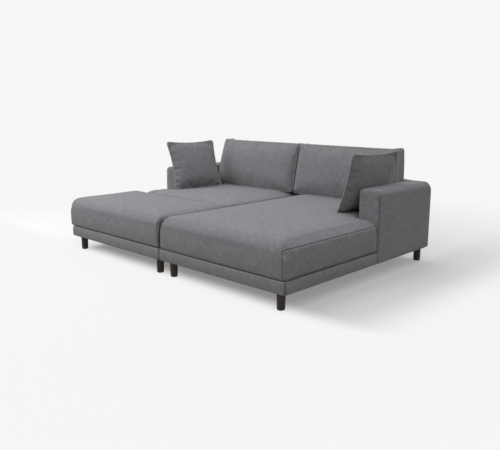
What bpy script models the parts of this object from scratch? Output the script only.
"""Modular sofa with a chaise: an ottoman, a seat module with the left arm, and a chaise module.

Plan places count from the front left corner of the ottoman's base: x to the right, y to the back,
z up from the floor. Each module is laid out by u, which runs from its joint face towards its own
end of the sofa, so the seat module and the chaise come from the same functions. Metres throughout.
"""

import math
from dataclasses import dataclass

import bmesh
import bpy
from mathutils import Matrix, Vector
from mathutils.bvhtree import BVHTree

# The whole sofa
sofa_width = 2.424
sofa_depth = 1.756
ottoman_width = 1.222
ottoman_depth = 0.725
seat_module_inset = 0.058
module_gap = 0.008
touch = 0.0003
soft_touch = 0.0008
overrun = 0.010

# Bases
leg_height = 0.115
base_height = 0.083
band_wall = 0.020
free_corner_radius = 0.028
joint_corner_radius = 0.012
inner_corner_radius = 0.002
band_edge_radius = 0.006
rail_width = 0.040
rail_clearance = 0.0007
corner_block = 0.050
webbing_thickness = 0.002
strap_width = 0.070
strap_spacing = 0.200
dust_cover_thickness = 0.0012
dust_cover_overlap = 0.014
dust_cover_clearance = 0.014

# Legs
leg_radius = 0.028
foot_radius = 0.0262
foot_rounding = 0.008
front_leg_inset = 0.0595
end_leg_inset = 0.077
ottoman_joint_leg_inset = 0.058
ottoman_end_leg_inset = 0.100
joint_leg_inset = 0.094
arm_leg_inset = 0.071

# Arms and back panels
arm_front = 0.9986
arm_thickness = 0.166
arm_height = 0.636
back_thickness = 0.100
upholstery = 0.022
top_padding = 0.030
outer_edge_radius = 0.038
inner_edge_radius = 0.020
crisp_edge_radius = 0.004
rear_corner_radius = 0.066
rear_side_rounding = 0.010
frame_member = 0.060
frame_recess = 0.012

# Seat cushions
cushion_edge_height = 0.2435
cushion_overhang = 0.028
cushion_front_setback = 0.002
cushion_gap = 0.002
cushion_arm_clearance = 0.006
cushion_edge_band = 0.055
cushion_low_side = 0.040
cushion_high_side = 0.058
cushion_foot_draw = 0.012
cushion_top_draw = 0.014
cushion_top_drop = 0.006
cushion_notch_draw = 0.012
cushion_crown = 0.018
crown_run = 0.280
seat_cushion_cell = 0.300

# Back cushions
back_cushion_height = 0.433
back_cushion_foot = 0.160
back_cushion_head = 0.130
back_cushion_lean = math.radians(10.4)
back_cushion_crown = 0.020
back_cushion_edge_band = 0.050
back_cushion_draw = 0.012
back_cushion_ear = 0.014
back_cushion_ear_reach = 0.110
back_cushion_cell = 0.260
back_cushion_rear_side = 0.035
back_cushion_front_side = 0.040
back_crown_run = 0.220
back_cushion_end_gap = 0.003
back_cushion_end_draw = 0.042

# Throw pillows
pillow_width = 0.496
pillow_height = 0.466
pillow_depth = 0.128
pillow_seam = 0.006
pillow_draw = 0.020
pillow_cells = 11
pillow_turn = math.radians(7.7)
seat_pillow_turn = math.radians(-11.5)
pillow_tilt = math.radians(17.6)
seat_pillow_tilt = math.radians(22.0)
pillow_setback = 0.538
seat_pillow_setback = 0.608
pillow_start = 0.150

# Connectors between the seat module and the chaise
connector_wall = 0.0025
channel_width = 0.056
channel_inner_height = 0.0052
channel_lip = 0.012
channel_length = 0.0425
channel_setback = 0.002
tongue_width = 0.040
tongue_thickness = 0.0042
tongue_clearance = 0.0005
tongue_pad = 0.044
tongue_reach = 0.020
tongue_bend = 0.008
connector_rear_setback = 0.160
connector_front_setback = 0.130

# Finishes: colour, roughness, metallic
finishes = {
    "fabric": ((0.155, 0.160, 0.166), 0.95, 0.0),
    "timber": ((0.520, 0.360, 0.210), 0.70, 0.0),
    "webbing": ((0.070, 0.068, 0.065), 0.85, 0.0),
    "dust_cloth": ((0.020, 0.020, 0.021), 0.95, 0.0),
    "dark_wood": ((0.026, 0.012, 0.008), 0.45, 0.0),
    "steel": ((0.450, 0.450, 0.460), 0.40, 1.0),
}

# Counts, and heights that follow from the values above
base_top = leg_height + base_height
rail_top = base_top - webbing_thickness - 2 * touch
inner_edge = band_wall + rail_clearance
arc_steps = 4
edge_samples = 8
settle_rounds = 4
leg_sides = 16
smooth_angle = math.radians(40.0)


@dataclass
class Module:
    """A module's name, its carrier, and its footprint from the joint face outwards."""
    name: str
    carrier: bpy.types.Object
    joint_face: float
    direction: int
    width: float
    front: float

    def x(self, u):
        return self.joint_face + self.direction * u

    def plan(self, points):
        return [(self.x(u), y) for u, y in points]


def clear_scene():
    for item in list(bpy.data.objects):
        bpy.data.objects.remove(item, do_unlink=True)


def add_piece(name, mesh, carrier, finish, smooth=False):
    """One named object on its carrier, with a material of its own."""
    piece = bpy.data.objects.new(name, mesh)
    bpy.context.collection.objects.link(piece)
    piece.parent = carrier
    colour, roughness, metallic = finishes[finish]
    material = bpy.data.materials.new(name + "_" + finish)
    material.use_nodes = True
    shader = material.node_tree.nodes["Principled BSDF"]
    shader.inputs["Base Color"].default_value = (*colour, 1.0)
    shader.inputs["Roughness"].default_value = roughness
    shader.inputs["Metallic"].default_value = metallic
    piece.data.materials.append(material)
    if smooth:
        piece.data.shade_smooth()
        piece.data.set_sharp_from_angle(angle=smooth_angle)
    return piece


def finished_mesh(builder, name):
    """Turn a bmesh into a mesh with its faces pointing out."""
    bmesh.ops.recalc_face_normals(builder, faces=builder.faces)
    mesh = bpy.data.meshes.new(name)
    builder.to_mesh(mesh)
    builder.free()
    return mesh


# Outlines

def arc_points(centre, start, end):
    """Points from centre + start round to centre + end, two arms of one length."""
    turn = start.angle(end)
    points = []
    for step in range(arc_steps + 1):
        share = step / arc_steps
        arm = start * math.sin((1 - share) * turn) + end * math.sin(share * turn)
        points.append(centre + arm / math.sin(turn))
    return points


def rounded_outline(corners, radii):
    """A closed outline whose corners are arcs that touch both of their sides, or sharp at 0."""
    points = []
    for index, corner in enumerate(corners):
        here = Vector(corner)
        if radii[index] == 0:
            points.append(here)
            continue
        back = (Vector(corners[index - 1]) - here).normalized()
        ahead = (Vector(corners[(index + 1) % len(corners)]) - here).normalized()
        half = back.angle(ahead) / 2
        reach = radii[index] / math.tan(half)
        centre = here + (back + ahead).normalized() * radii[index] / math.sin(half)
        points += arc_points(centre, here + back * reach - centre, here + ahead * reach - centre)
    return points


def inset_corners(corners, distance):
    """Move each side of a counter-clockwise, square-cornered outline inwards."""
    moved = []
    for index, corner in enumerate(corners):
        here = Vector(corner)
        before = (here - Vector(corners[index - 1])).normalized()
        after = (Vector(corners[(index + 1) % len(corners)]) - here).normalized()
        inwards = Vector((-before.y, before.x)) + Vector((-after.y, after.x))
        moved.append(here + inwards * distance)
    return moved


def edge_distance(point, outline):
    """Distance from a point to the nearest side of an outline."""
    here = Vector(point)
    nearest = math.inf
    for index, corner in enumerate(outline):
        start = Vector(outline[index - 1])
        side = Vector(corner) - start
        share = max(0.0, min(1.0, (here - start).dot(side) / side.length_squared))
        nearest = min(nearest, (here - start - side * share).length)
    return nearest


# Solids

def loft(name, rings):
    """Skin a row of rings that have as many points each, and close both ends."""
    builder = bmesh.new()
    loops = [[builder.verts.new(point) for point in ring] for ring in rings]
    for first, second in zip(loops, loops[1:]):
        for index in range(len(first)):
            builder.faces.new((first[index - 1], first[index], second[index], second[index - 1]))
    builder.faces.new(loops[0])
    builder.faces.new(loops[-1])
    return finished_mesh(builder, name)


def extruded(name, outline, low, high):
    """A flat outline, extruded upwards."""
    return loft(name, [[(x, y, height) for x, y in outline] for height in (low, high)])


def block(name, low, high):
    """A square block between two corners."""
    outline = [(low[0], low[1]), (high[0], low[1]), (high[0], high[1]), (low[0], high[1])]
    return extruded(name, outline, low[2], high[2])


def ring_wall(name, outer, inner, low, high, edge_radius):
    """A standing wall between two outlines, with its outer rims rounded."""
    builder = bmesh.new()
    loops = [[builder.verts.new((x, y, height)) for x, y in outline]
             for outline, height in ((outer, low), (outer, high), (inner, high), (inner, low))]
    for first, second in zip(loops, loops[1:] + loops[:1]):
        for index in range(len(first)):
            builder.faces.new((first[index - 1], first[index], second[index], second[index - 1]))
    rims = []
    for loop in loops[:2]:
        rims += [builder.edges.get((loop[index - 1], loop[index])) for index in range(len(loop))]
    bmesh.ops.bevel(builder, geom=rims, offset=edge_radius, segments=2, profile=0.5,
                    affect='EDGES', clamp_overlap=True)
    return finished_mesh(builder, name)


def grid_skin(name, counts, filled, shape):
    """Skin of the filled columns of a grid of cells. shape gives each grid corner its place."""
    builder = bmesh.new()
    corners = {}

    def corner(i, j, k):
        if (i, j, k) not in corners:
            corners[i, j, k] = builder.verts.new(shape(i, j, k))
        return corners[i, j, k]

    top = counts[2]
    columns = {(i, j) for i in range(counts[0]) for j in range(counts[1]) if filled(i, j)}
    for i, j in sorted(columns):
        around = [(i, j), (i + 1, j), (i + 1, j + 1), (i, j + 1)]
        builder.faces.new([corner(a, b, top) for a, b in around])
        builder.faces.new([corner(a, b, 0) for a, b in reversed(around)])
        for side, step in enumerate(((0, -1), (1, 0), (0, 1), (-1, 0))):
            if (i + step[0], j + step[1]) in columns:
                continue
            start = around[side]
            end = around[(side + 1) % 4]
            for k in range(top):
                builder.faces.new((corner(*start, k), corner(*end, k),
                                   corner(*end, k + 1), corner(*start, k + 1)))
    return finished_mesh(builder, name)


def spread(start, end, edge, cell):
    """Grid lines from start to end: a narrow band at each end, and even cells between them."""
    span = end - start - 2 * edge
    count = max(1, round(span / cell))
    middle = [start + edge + span * index / count for index in range(count + 1)]
    return [start] + middle + [end]


def sign(value):
    return (value > 0) - (value < 0)


def inwards_at(i, j, filled):
    """Signs of the way from a grid corner to the filled columns round it, and their number."""
    total_x = total_y = number = 0
    for a in (-1, 0):
        for b in (-1, 0):
            if filled(i + a, j + b):
                total_x += 2 * a + 1
                total_y += 2 * b + 1
                number += 1
    return sign(total_x), sign(total_y), number


def soften(piece):
    """Round a cage into a stuffed form."""
    rounding = piece.modifiers.new("stuffing", 'SUBSURF')
    rounding.levels = 1
    rounding.render_levels = 1
    piece.data.shade_smooth()


# Bases

def l_corners(module, setback, depth):
    """Footprint of a base or cushion that stops short of the arm and of the back panel."""
    inner = module.width - arm_thickness - setback
    return [(0, module.front), (module.width, module.front),
            (module.width, arm_front - setback), (inner, arm_front - setback),
            (inner, depth), (0, depth)]


def base_band(module, corners, radii):
    """The upholstered wall round a base."""
    if module.direction < 0:
        corners = corners[::-1]
        radii = radii[::-1]
    plan_corners = module.plan(corners)
    inner_corners = inset_corners(plan_corners, band_wall)
    outer = rounded_outline(plan_corners, radii)
    inner = rounded_outline(inner_corners, [min(radius, inner_corner_radius) for radius in radii])
    mesh = ring_wall(module.name + "_base_band", outer, inner, leg_height, base_top,
                     band_edge_radius)
    add_piece(module.name + "_base_band", mesh, module.carrier, "fabric", smooth=True)


def timber(module, label, outline):
    """A rail of the base frame, extruded to the rails' height."""
    name = module.name + "_" + label
    mesh = extruded(name, module.plan(outline), leg_height, rail_top)
    add_piece(name, mesh, module.carrier, "timber")


def plain_rail(module, label, u_low, u_high, y_low, y_high):
    timber(module, label, [(u_low, y_low), (u_high, y_low), (u_high, y_high), (u_low, y_high)])


def blocked_rail(module, label, u_low, u_high, y_outer, inwards):
    """A rail across the base with a glued triangular corner block at both ends."""
    y_inner = y_outer + inwards * rail_width
    y_block = y_inner + inwards * corner_block
    u_near = u_low + rail_width + touch
    u_far = u_high - rail_width - touch
    timber(module, label, [
        (u_low, y_outer), (u_high, y_outer), (u_high, y_inner),
        (u_far, y_inner), (u_far, y_block), (u_far - corner_block, y_inner),
        (u_near + corner_block, y_inner), (u_near, y_block), (u_near, y_inner),
        (u_low, y_inner)])


def strap_lines(start, end):
    """Edges of the straps that cross a span, with the span's own ends first and last."""
    count = max(2, round((end - start) / strap_spacing))
    lines = [start]
    for index in range(count):
        middle = start + (end - start) * (index + 0.5) / count
        lines += [middle - strap_width / 2, middle + strap_width / 2]
    return lines + [end]


def webbing(module, u_low, u_high, y_low, y_high, u_wing, y_wing):
    """Straps both ways over the rails. Those in front of y_wing reach out to u_wing."""
    u_lines = strap_lines(u_low, u_high)
    y_lines = strap_lines(y_low, y_high)
    main_cells = len(u_lines) - 1
    if u_wing > u_high:
        u_lines = u_lines + [u_wing]

    def filled(i, j):
        if i >= main_cells:
            return j % 2 == 1 and y_lines[j + 1] < y_wing
        return i % 2 == 1 or j % 2 == 1

    def shape(i, j, k):
        height = rail_top + touch + k * webbing_thickness
        return module.x(u_lines[i]), y_lines[j], height

    name = module.name + "_webbing"
    mesh = grid_skin(name, (len(u_lines) - 1, len(y_lines) - 1, 1), filled, shape)
    add_piece(name, mesh, module.carrier, "webbing")


def dust_cover(module, corners, legs):
    """A thin cloth under the rails, notched round the leg at each corner that has one.

    legs holds a place for each corner of the outline, or None where no leg stands.
    """
    inset = band_wall + rail_width - dust_cover_overlap
    reach = leg_radius + dust_cover_clearance
    notched = []
    sides = inset_corners([Vector(corner) for corner in corners], inset)
    for index, corner in enumerate(sides):
        if legs[index] is None:
            notched.append(corner)
            continue
        before = (corner - sides[index - 1]).normalized()
        after = (sides[(index + 1) % len(sides)] - corner).normalized()
        leg = Vector(legs[index])
        back = before * ((corner - leg).dot(before) + reach)
        ahead = after * ((leg - corner).dot(after) + reach)
        notched += [corner - back, corner - back + ahead, corner + ahead]
    name = module.name + "_dust_cover"
    high = leg_height - touch
    mesh = extruded(name, module.plan(notched), high - dust_cover_thickness, high)
    add_piece(name, mesh, module.carrier, "dust_cloth")


# Legs

def leg_mesh():
    """Half outline of a turned leg, from the top down its outer side to the foot."""
    top = leg_height - touch
    points = [(0, top), (leg_radius, top)]
    for step in range(3):
        turn = math.radians(45.0) * step
        points.append((foot_radius - foot_rounding * (1 - math.cos(turn)),
                       foot_rounding * (1 - math.sin(turn))))
    points.append((0, 0))
    mesh = bpy.data.meshes.new("leg")
    edges = [(index, index + 1) for index in range(len(points) - 1)]
    mesh.from_pydata([(radius, 0, height) for radius, height in points], edges, [])
    return mesh


def add_leg(module, label, u, y):
    leg = add_piece(module.name + "_leg_" + label, leg_mesh(), module.carrier, "dark_wood")
    leg.location = (module.x(u), y, 0)
    turning = leg.modifiers.new("turning", 'SCREW')
    turning.axis = 'Z'
    turning.angle = math.tau
    turning.steps = leg_sides
    turning.render_steps = leg_sides
    turning.use_merge_vertices = True
    turning.merge_threshold = 0.00001
    turning.use_smooth_shade = True


# Arms and back panels

def hollow(piece, low, high):
    """Cut the space for the inner frame out of a cover, open at the bottom."""
    cutter = bpy.data.objects.new(piece.name + "_space", block(piece.name + "_space", low, high))
    bpy.context.collection.objects.link(cutter)
    cutter.parent = piece.parent
    cutter.hide_render = True
    cutter.display_type = 'WIRE'
    cut = piece.modifiers.new("frame_space", 'BOOLEAN')
    cut.operation = 'DIFFERENCE'
    cut.solver = 'EXACT'
    cut.object = cutter


def panel_frame(name, carrier, low, high, axis):
    """A timber frame with a thinner panel in it, set back on both faces across the axis."""
    mesh = block(name, low, high)
    builder = bmesh.new()
    builder.from_mesh(mesh)
    builder.normal_update()
    faces = [face for face in builder.faces if abs(face.normal[axis]) > math.cos(math.pi / 4)]
    bmesh.ops.inset_individual(builder, faces=faces, thickness=frame_member, depth=-frame_recess)
    builder.to_mesh(mesh)
    builder.free()
    add_piece(name, mesh, carrier, "timber")


def box_corners(module, u_low, u_high, y_low, y_high, z_low, z_high):
    """Lowest and highest corner of a space given by the module's own places."""
    sides = sorted((module.x(u_low), module.x(u_high)))
    return (sides[0], y_low, z_low), (sides[1], y_high, z_high)


def arm(module):
    """A full-height arm: the padded cover, rounded over its rear corner, and its frame."""
    outer = module.width
    inner = module.width - arm_thickness
    rings = []

    def ring(y, high, side_inset):
        outline = rounded_outline(
            [(inner + side_inset, leg_height + side_inset), (outer - side_inset, leg_height + side_inset),
             (outer - side_inset, high), (inner + side_inset, high)],
            [crisp_edge_radius, crisp_edge_radius, outer_edge_radius, inner_edge_radius])
        rings.append([(module.x(u), y, z) for u, z in outline])

    ring(arm_front, arm_height - crisp_edge_radius, crisp_edge_radius)
    ring(arm_front + crisp_edge_radius, arm_height, 0)
    bend_start = sofa_depth - rear_corner_radius
    for step in range(arc_steps + 1):
        turn = math.pi / 2 * step / arc_steps
        ring(bend_start + rear_corner_radius * math.sin(turn),
             arm_height - rear_corner_radius * (1 - math.cos(turn)),
             rear_side_rounding * (1 - math.cos(turn)))
    name = module.name + "_arm_cover"
    cover = add_piece(name, loft(name, rings), module.carrier, "fabric", smooth=True)
    low, high = box_corners(module, inner + upholstery, outer - upholstery,
                            arm_front + upholstery, sofa_depth - upholstery,
                            leg_height - overrun, arm_height - top_padding)
    hollow(cover, low, high)
    clear = upholstery + touch
    low, high = box_corners(module, inner + clear, outer - clear,
                            arm_front + clear, sofa_depth - clear,
                            leg_height, arm_height - top_padding - touch)
    panel_frame(module.name + "_arm_frame", module.carrier, low, high, 0)


def back_panel(module):
    """Half of the back: a padded cover with a rounded top, and its frame."""
    far = module.width - arm_thickness - touch
    front = sofa_depth - back_thickness
    rings = []
    for u, inset in ((0, crisp_edge_radius), (crisp_edge_radius, 0),
                     (far - crisp_edge_radius, 0), (far, crisp_edge_radius)):
        outline = rounded_outline(
            [(front + inset, leg_height + inset), (sofa_depth - inset, leg_height + inset),
             (sofa_depth - inset, arm_height - inset), (front + inset, arm_height - inset)],
            [crisp_edge_radius, crisp_edge_radius, outer_edge_radius, inner_edge_radius])
        rings.append([(module.x(u), y, z) for y, z in outline])
    name = module.name + "_back_cover"
    cover = add_piece(name, loft(name, rings), module.carrier, "fabric", smooth=True)
    low, high = box_corners(module, upholstery, far - upholstery,
                            front + upholstery, sofa_depth - upholstery,
                            leg_height - overrun, arm_height - top_padding)
    hollow(cover, low, high)
    clear = upholstery + touch
    low, high = box_corners(module, clear, far - clear, front + clear, sofa_depth - clear,
                            leg_height, arm_height - top_padding - touch)
    panel_frame(module.name + "_back_frame", module.carrier, low, high, 1)


# Cushions

def seat_cushion(module, corners, u_lines, y_lines, filled):
    """A box cushion with a crowned top, drawn-in top and foot seams and soft edges."""
    heights = [base_top + touch, base_top + touch + cushion_low_side,
               base_top + cushion_edge_height - cushion_high_side,
               base_top + cushion_edge_height]
    draws = [cushion_foot_draw, 0, 0, cushion_top_draw]

    def shape(i, j, k):
        across, along, number = inwards_at(i, j, filled)
        draw = draws[k] + (cushion_notch_draw if number == 3 else 0)
        u = u_lines[i] + across * draw
        y = y_lines[j] + along * draw
        z = heights[k]
        if k == 3:
            distance = min(edge_distance((u_lines[i], y_lines[j]), corners) / crown_run, 1)
            z += cushion_crown * (1 - (1 - distance) ** 2)
            if across or along:
                z -= cushion_top_drop
        return module.x(u), y, z

    name = module.name + "_cushion"
    mesh = grid_skin(name, (len(u_lines) - 1, len(y_lines) - 1, 3), filled, shape)
    cushion = add_piece(name, mesh, module.carrier, "fabric")
    soften(cushion)
    return cushion


def box_seat_cushion(module, depth):
    """The ottoman's cushion, which overhangs the base at its free end."""
    far = module.width + cushion_overhang
    front = module.front + cushion_front_setback
    corners = [(cushion_gap, front), (far, front), (far, depth), (cushion_gap, depth)]
    u_lines = spread(cushion_gap, far, cushion_edge_band, seat_cushion_cell)
    y_lines = spread(front, depth, cushion_edge_band, seat_cushion_cell)

    def filled(i, j):
        return 0 <= i < len(u_lines) - 1 and 0 <= j < len(y_lines) - 1

    return seat_cushion(module, corners, u_lines, y_lines, filled)


def l_seat_cushion(module):
    """A seat cushion that wraps round the front of the arm."""
    inner = module.width - arm_thickness - cushion_arm_clearance
    shoulder = arm_front - cushion_arm_clearance
    front = module.front + cushion_front_setback
    depth = sofa_depth - back_thickness - cushion_arm_clearance
    corners = [(cushion_gap, front), (module.width, front), (module.width, shoulder),
               (inner, shoulder), (inner, depth), (cushion_gap, depth)]
    wing = (module.width - inner) / 2
    u_lines = spread(cushion_gap, inner, cushion_edge_band, seat_cushion_cell)
    u_lines += [inner + wing, module.width - cushion_edge_band, module.width]
    y_lines = spread(front, shoulder, cushion_edge_band, seat_cushion_cell)
    y_lines += spread(shoulder, depth, cushion_edge_band, seat_cushion_cell)[1:]
    inner_index = u_lines.index(inner)
    shoulder_index = y_lines.index(shoulder)

    def filled(i, j):
        if not (0 <= i < len(u_lines) - 1 and 0 <= j < len(y_lines) - 1):
            return False
        return i < inner_index or j < shoulder_index

    return seat_cushion(module, corners, u_lines, y_lines, filled)


def back_cushion(module):
    """A loose box cushion that narrows to its top and leans back on the panel's upper edge.

    Its free end draws in by the end draw times the height share squared.
    """
    low = cushion_gap
    high = module.width - arm_thickness - back_cushion_end_gap
    slope = math.tan(back_cushion_lean)
    foot_height = base_top + cushion_edge_height
    foot_rear = sofa_depth - back_thickness - slope * (arm_height - foot_height)
    u_lines = spread(low, high, back_cushion_edge_band, back_cushion_cell)
    z_lines = spread(0, back_cushion_height, back_cushion_edge_band, back_cushion_cell)
    corners = [(low, 0), (high, 0), (high, back_cushion_height), (low, back_cushion_height)]

    def filled(i, j):
        return 0 <= i < len(u_lines) - 1 and 0 <= j < len(z_lines) - 1

    def shape(i, j, k):
        across, upwards = inwards_at(i, j, filled)[:2]
        share = z_lines[j] / back_cushion_height
        thickness = back_cushion_foot + (back_cushion_head - back_cushion_foot) * share
        layers = [0, back_cushion_rear_side, thickness - back_cushion_front_side, thickness]
        draw = back_cushion_draw if k in (0, 3) else 0
        y = foot_rear + slope * z_lines[j] - layers[k]
        if k == 3:
            distance = min(edge_distance((u_lines[i], z_lines[j]), corners) / back_crown_run, 1)
            y -= back_cushion_crown * (1 - (1 - distance) ** 2)
        end = min(u_lines[i] - low, high - u_lines[i]) / back_cushion_ear_reach
        ear = back_cushion_ear * max(0, 1 - end) ** 2 * share
        inwards = back_cushion_end_draw * share ** 2 * (u_lines[i] - low) / (high - low)
        return (module.x(u_lines[i] + across * draw - inwards), y,
                foot_height + z_lines[j] + upwards * draw + ear)

    name = module.name + "_back_cushion"
    mesh = grid_skin(name, (len(u_lines) - 1, len(z_lines) - 1, 3), filled, shape)
    cushion = add_piece(name, mesh, module.carrier, "fabric")
    soften(cushion)
    return cushion


def pillow_mesh(name):
    """Two crowned faces joined by a narrow seam. The sides are drawn in between the corners."""
    lines = [math.sin(math.pi * (index / pillow_cells - 0.5)) for index in range(pillow_cells + 1)]

    def shape(i, j, k):
        u = lines[i]
        v = lines[j]
        bulge = math.sqrt(max(0, (1 - u * u) * (1 - v * v)))
        half = pillow_seam / 2 + (pillow_depth - pillow_seam) / 2 * bulge
        x = u * (pillow_width / 2 - pillow_draw * (1 - v * v))
        z = v * (pillow_height / 2 - pillow_draw * (1 - u * u))
        return x, half * (1 - 2 * k), z

    def filled(i, j):
        return 0 <= i < pillow_cells and 0 <= j < pillow_cells

    return grid_skin(name, (pillow_cells, pillow_cells, 1), filled, shape)


def throw_pillow(module, turn, tilt, y):
    """A pillow that leans on the arm. turn is towards the arm at its rear end."""
    along = Vector((module.direction * math.sin(turn), math.cos(turn), 0))
    lean = Vector((module.direction * math.cos(turn), -math.sin(turn), 0))
    up = Vector((0, 0, math.cos(tilt))) + lean * math.sin(tilt)
    face = up.cross(along)
    name = module.name + "_throw_pillow"
    pillow = add_piece(name, pillow_mesh(name), module.carrier, "fabric", smooth=True)
    pillow.rotation_euler = Matrix((along, face, up)).transposed().to_euler()
    u = module.width - arm_thickness - pillow_start
    foot = Vector((module.x(u), y, base_top + cushion_edge_height))
    pillow.location = foot + up * (pillow_height / 2)
    return pillow


# Settling one piece on another

def surface_of(piece):
    """A piece's triangles in world space, and points along all of its edges."""
    graph = bpy.context.evaluated_depsgraph_get()
    shaped = piece.evaluated_get(graph)
    mesh = shaped.to_mesh()
    mesh.calc_loop_triangles()
    places = [piece.matrix_world @ vertex.co for vertex in mesh.vertices]
    tree = BVHTree.FromPolygons(places, [tuple(face.vertices) for face in mesh.loop_triangles])
    points = list(places)
    for edge in mesh.edges:
        start, end = (places[index] for index in edge.vertices)
        points += [start.lerp(end, step / edge_samples) for step in range(1, edge_samples)]
    shaped.to_mesh_clear()
    return tree, points


def settle(piece, supports, direction, gap):
    """Move a piece along a direction until it lies a gap away from its supports."""
    bpy.context.view_layer.update()
    way = Vector(direction)
    run_up = way * pillow_start
    piece_tree, piece_points = surface_of(piece)
    runs = []
    for support in supports:
        tree, points = surface_of(support)
        hits = [tree.ray_cast(point - run_up, way) for point in piece_points]
        hits += [piece_tree.ray_cast(point + run_up, -way) for point in points]
        runs += [hit[3] for hit in hits if hit[3] is not None]
    piece.location += way * (min(runs) - pillow_start - gap)
    bpy.context.view_layer.update()


# Connectors

def channel(module, label, y):
    """A steel channel under the chaise's side rail, open at both ends, with inturned lips."""
    top = leg_height - touch
    height = channel_inner_height + 2 * connector_wall
    half = channel_width / 2
    wall = connector_wall
    mouth = half - wall - channel_lip
    profile = [(-half, 0), (half, 0), (half, -height), (mouth, -height), (mouth, wall - height),
               (half - wall, wall - height), (half - wall, -wall), (wall - half, -wall),
               (wall - half, wall - height), (-mouth, wall - height), (-mouth, -height),
               (-half, -height)]
    rings = [[(module.x(u), y + across, top + up) for across, up in profile]
             for u in (channel_setback, channel_setback + channel_length)]
    name = module.name + "_connector_channel_" + label
    add_piece(name, loft(name, rings), module.carrier, "steel")


def tongue(module, label, y):
    """A joggled steel tongue under the seat module's side rail, which enters the channel."""
    top = leg_height - touch
    drop = connector_wall + tongue_clearance
    tip = -module_gap - tongue_reach
    bend = tongue_bend / 2
    profile = [(tongue_pad, 0), (tongue_bend + bend, 0), (bend, -drop), (tip, -drop),
               (tip, -drop - tongue_thickness), (bend, -drop - tongue_thickness),
               (tongue_bend + bend, -tongue_thickness), (tongue_pad, -tongue_thickness)]
    rings = [[(module.x(u), y + side * tongue_width / 2, top + up) for u, up in profile]
             for side in (-1, 1)]
    name = module.name + "_connector_tongue_" + label
    add_piece(name, loft(name, rings), module.carrier, "steel")


# Modules

def add_carrier(name):
    """The empty that a module's pieces are parented to, at the sofa's front left corner."""
    carrier = bpy.data.objects.new(name, None)
    bpy.context.collection.objects.link(carrier)
    carrier.location = ((cushion_overhang - sofa_width) / 2, -sofa_depth / 2, 0)
    return carrier


def ottoman():
    width = ottoman_width - module_gap / 2
    depth = ottoman_depth - module_gap / 2
    module = Module("ottoman", add_carrier("ottoman_module"), width, -1, width, 0)
    corners = [(0, 0), (width, 0), (width, depth), (0, depth)]
    base_band(module, corners, [joint_corner_radius, free_corner_radius,
                                free_corner_radius, joint_corner_radius])
    near = inner_edge + rail_width + touch
    far = width - inner_edge
    side_low = inner_edge + rail_width + touch
    side_high = depth - inner_edge - rail_width - touch
    blocked_rail(module, "front_rail", inner_edge, far, inner_edge, 1)
    blocked_rail(module, "rear_rail", inner_edge, far, depth - inner_edge, -1)
    plain_rail(module, "joint_side_rail", inner_edge, inner_edge + rail_width, side_low, side_high)
    plain_rail(module, "end_rail", far - rail_width, far, side_low, side_high)
    middle = (near + far - rail_width) / 2
    plain_rail(module, "centre_rail", middle - rail_width / 2, middle + rail_width / 2,
               side_low, side_high)
    rim = inner_edge + rail_width / 2
    webbing(module, rim, width - rim, rim, depth - rim, 0, 0)
    leg_end = width - ottoman_end_leg_inset
    leg_rear = depth - front_leg_inset
    legs = [(ottoman_joint_leg_inset, front_leg_inset), (leg_end, front_leg_inset),
            (leg_end, leg_rear), (ottoman_joint_leg_inset, leg_rear)]
    dust_cover(module, corners, legs)
    for label, place in zip(("front_joint", "front_end", "rear_end", "rear_joint"), legs):
        add_leg(module, label, *place)
    box_seat_cushion(module, depth + module_gap / 2 - cushion_gap)


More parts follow.
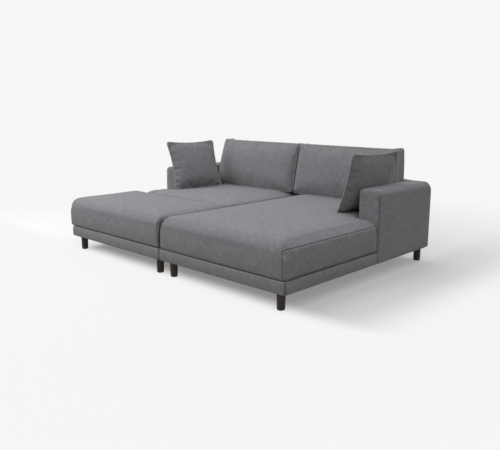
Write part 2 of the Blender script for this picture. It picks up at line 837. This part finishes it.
def arm_module(name, joint_face, direction, width, front):
    """A module with an arm at its far end and half of the back."""
    module = Module(name, add_carrier(name + "_module"), joint_face, direction, width, front)
    base_rear = sofa_depth - back_thickness - touch
    corners = l_corners(module, touch, base_rear)
    base_band(module, corners, [joint_corner_radius, free_corner_radius, crisp_edge_radius, 0,
                                crisp_edge_radius, crisp_edge_radius])

    far = width - inner_edge
    arm_side = width - arm_thickness - touch - inner_edge
    cross_rear = arm_front - touch - inner_edge
    front_inner = front + inner_edge + rail_width + touch
    rear_outer = base_rear - inner_edge
    rear_inner = rear_outer - rail_width - touch
    cross_front = cross_rear - rail_width
    blocked_rail(module, "front_rail", inner_edge, far, front + inner_edge, 1)
    blocked_rail(module, "rear_rail", inner_edge, arm_side, rear_outer, -1)
    plain_rail(module, "joint_side_rail", inner_edge, inner_edge + rail_width,
               front_inner, rear_inner)
    plain_rail(module, "cross_rail", inner_edge + rail_width + touch, far,
               cross_front, cross_rear)
    plain_rail(module, "front_end_rail", far - rail_width, far, front_inner, cross_front - touch)
    plain_rail(module, "rear_end_rail", arm_side - rail_width, arm_side,
               cross_rear + touch, rear_inner)

    half_rail = rail_width / 2
    webbing(module, inner_edge + half_rail, arm_side - half_rail,
            front + inner_edge + half_rail, rear_outer - half_rail,
            far - half_rail, cross_rear - half_rail)
    front_legs = [(joint_leg_inset, front + front_leg_inset),
                  (width - end_leg_inset, front + front_leg_inset)]
    dust_cover(module, corners, front_legs + [None] * (len(corners) - len(front_legs)))
    rear_leg_y = sofa_depth - back_thickness / 2
    add_leg(module, "front_joint", *front_legs[0])
    add_leg(module, "front_end", *front_legs[1])
    add_leg(module, "rear_joint", joint_leg_inset, rear_leg_y)
    add_leg(module, "rear_end", width - arm_leg_inset, rear_leg_y)
    arm(module)
    back_panel(module)
    return module, l_seat_cushion(module)


def dress(module, seat, turn, tilt, pillow_y):
    """The loose cushion and pillow, set down on the seat, against the back and the arm."""
    cushion = back_cushion(module)
    back_cover = bpy.data.objects[module.name + "_back_cover"]
    for _ in range(settle_rounds):
        settle(cushion, [seat], (0, 0, -1), soft_touch)
        settle(cushion, [back_cover], (0, 1, 0), soft_touch)
    pillow = throw_pillow(module, turn, tilt, pillow_y)
    arm_cover = bpy.data.objects[module.name + "_arm_cover"]
    for _ in range(settle_rounds):
        settle(pillow, [seat], (0, 0, -1), soft_touch)
        settle(pillow, [arm_cover], (module.direction, 0, 0), soft_touch)


def build():
    clear_scene()
    ottoman()
    seat_face = ottoman_width - module_gap / 2
    seat, seat_top = arm_module("left_seat", seat_face, -1, seat_face - seat_module_inset,
                                ottoman_depth + module_gap / 2)
    chaise_face = ottoman_width + module_gap / 2
    chaise, chaise_top = arm_module("chaise", chaise_face, 1, sofa_width - chaise_face, 0)
    dress(seat, seat_top, seat_pillow_turn, seat_pillow_tilt, sofa_depth - seat_pillow_setback)
    dress(chaise, chaise_top, pillow_turn, pillow_tilt, sofa_depth - pillow_setback)
    places = {"front": seat.front + connector_front_setback,
              "rear": sofa_depth - back_thickness - connector_rear_setback}
    for label, y in places.items():
        channel(chaise, label, y)
        tongue(seat, label, y)


build()
